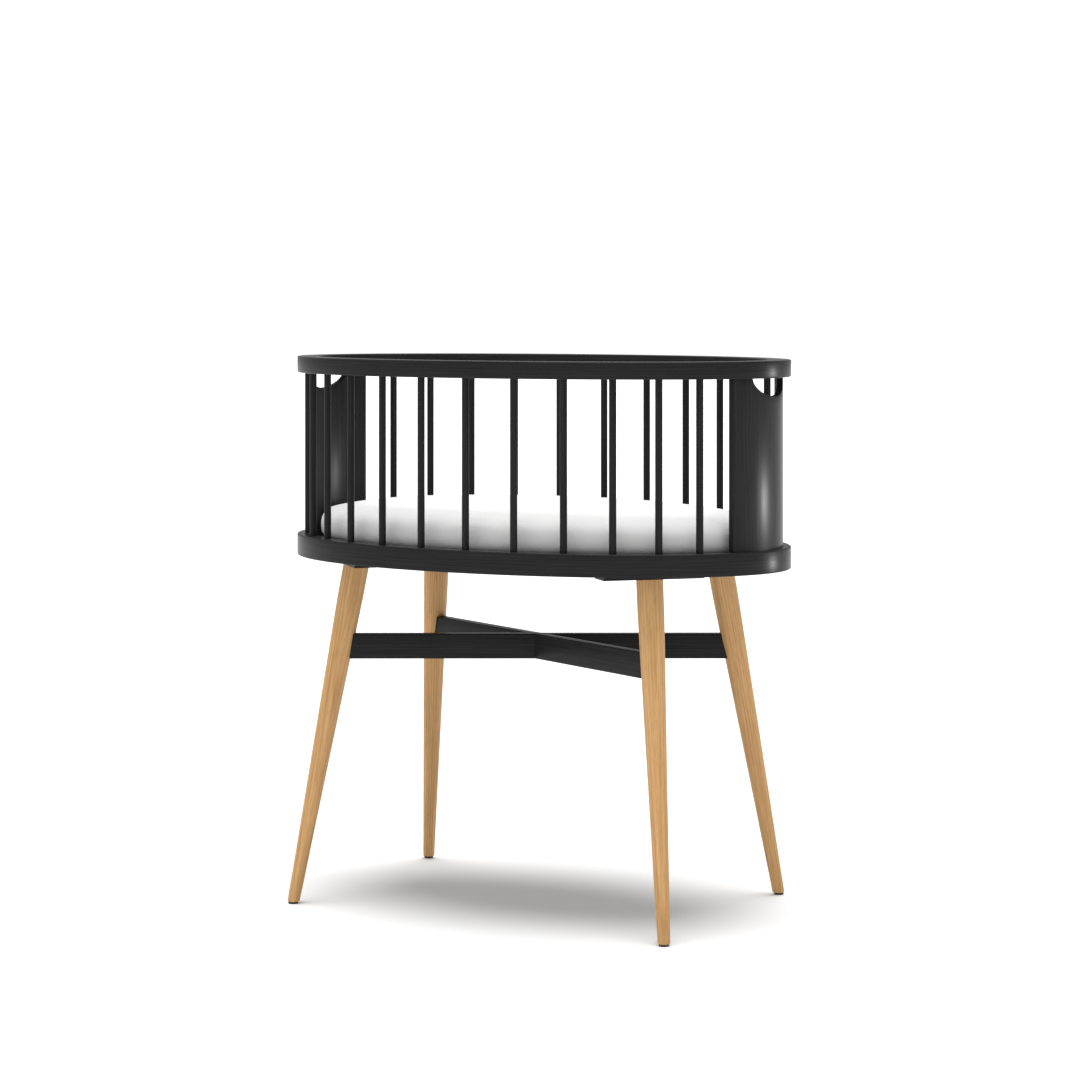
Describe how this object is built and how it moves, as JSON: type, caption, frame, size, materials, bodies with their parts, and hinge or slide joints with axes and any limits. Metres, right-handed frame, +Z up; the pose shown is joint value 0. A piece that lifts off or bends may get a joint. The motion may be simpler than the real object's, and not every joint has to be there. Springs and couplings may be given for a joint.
{
  "type": "bassinet",
  "caption": "Oval bassinet with barred sides, curved end panels with hand holds and a loose mattress, on splayed tapered legs joined by crossed stretchers.",
  "frame": {"origin": "on the floor, under the middle of the oval", "axes": "+X along the length of the oval, +Y across it, +Z up"},
  "size_m": [0.836, 0.497, 0.85],
  "materials": {
    "black_lacquer": "satin black lacquer with a faint grain",
    "oak": "clear oiled oak",
    "beech": "bare beech dowel rod",
    "mattress_cover": "white cotton cover",
    "steel": "zinc plated",
    "glide_nylon": "dark brown nylon"
  },
  "bodies": {
    "bassinet_frame": {"bar_back_1": "black_lacquer", "bar_back_10": "black_lacquer", "bar_back_11": "black_lacquer", "bar_back_2": "black_lacquer", "bar_back_3": "black_lacquer", "bar_back_4": "black_lacquer", "bar_back_5": "black_lacquer", "bar_back_6": "black_lacquer", "bar_back_7": "black_lacquer", "bar_back_8": "black_lacquer", "bar_back_9": "black_lacquer", "bar_front_1": "black_lacquer", "bar_front_10": "black_lacquer", "bar_front_11": "black_lacquer", "bar_front_2": "black_lacquer", "bar_front_3": "black_lacquer", "bar_front_4": "black_lacquer", "bar_front_5": "black_lacquer", "bar_front_6": "black_lacquer", "bar_front_7": "black_lacquer", "bar_front_8": "black_lacquer", "bar_front_9": "black_lacquer", "base_ring": "black_lacquer", "board_screw_back": "steel", "board_screw_front": "steel", "end_panel_left": "black_lacquer", "end_panel_right": "black_lacquer", "glide_back_left": "glide_nylon", "glide_back_right": "glide_nylon", "glide_front_left": "glide_nylon", "glide_front_right": "glide_nylon", "leg_back_left": "oak", "leg_back_right": "oak", "leg_bolt_back_left": "steel", "leg_bolt_back_right": "steel", "leg_bolt_front_left": "steel", "leg_bolt_front_right": "steel", "leg_front_left": "oak", "leg_front_right": "oak", "leg_plate_back_left": "black_lacquer", "leg_plate_back_right": "black_lacquer", "leg_plate_front_left": "black_lacquer", "leg_plate_front_right": "black_lacquer", "mattress_board": "black_lacquer", "plate_screw_back_left_1": "steel", "plate_screw_back_left_2": "steel", "plate_screw_back_right_1": "steel", "plate_screw_back_right_2": "steel", "plate_screw_front_left_1": "steel", "plate_screw_front_left_2": "steel", "plate_screw_front_right_1": "steel", "plate_screw_front_right_2": "steel", "stretcher_back_left_to_front_right": "black_lacquer", "stretcher_dowel_back_left": "beech", "stretcher_dowel_back_right": "beech", "stretcher_dowel_front_left": "beech", "stretcher_dowel_front_right": "beech", "stretcher_front_left_to_back_right": "black_lacquer", "top_ring": "black_lacquer"},
    "mattress": {"mattress": "mattress_cover"}
  },
  "joints": [
    {"name": "mattress_lift", "type": "slide", "parent": "bassinet_frame", "child": "mattress", "axis": [0, 0, 1], "range_m": [0, 0.32]}
  ]
}
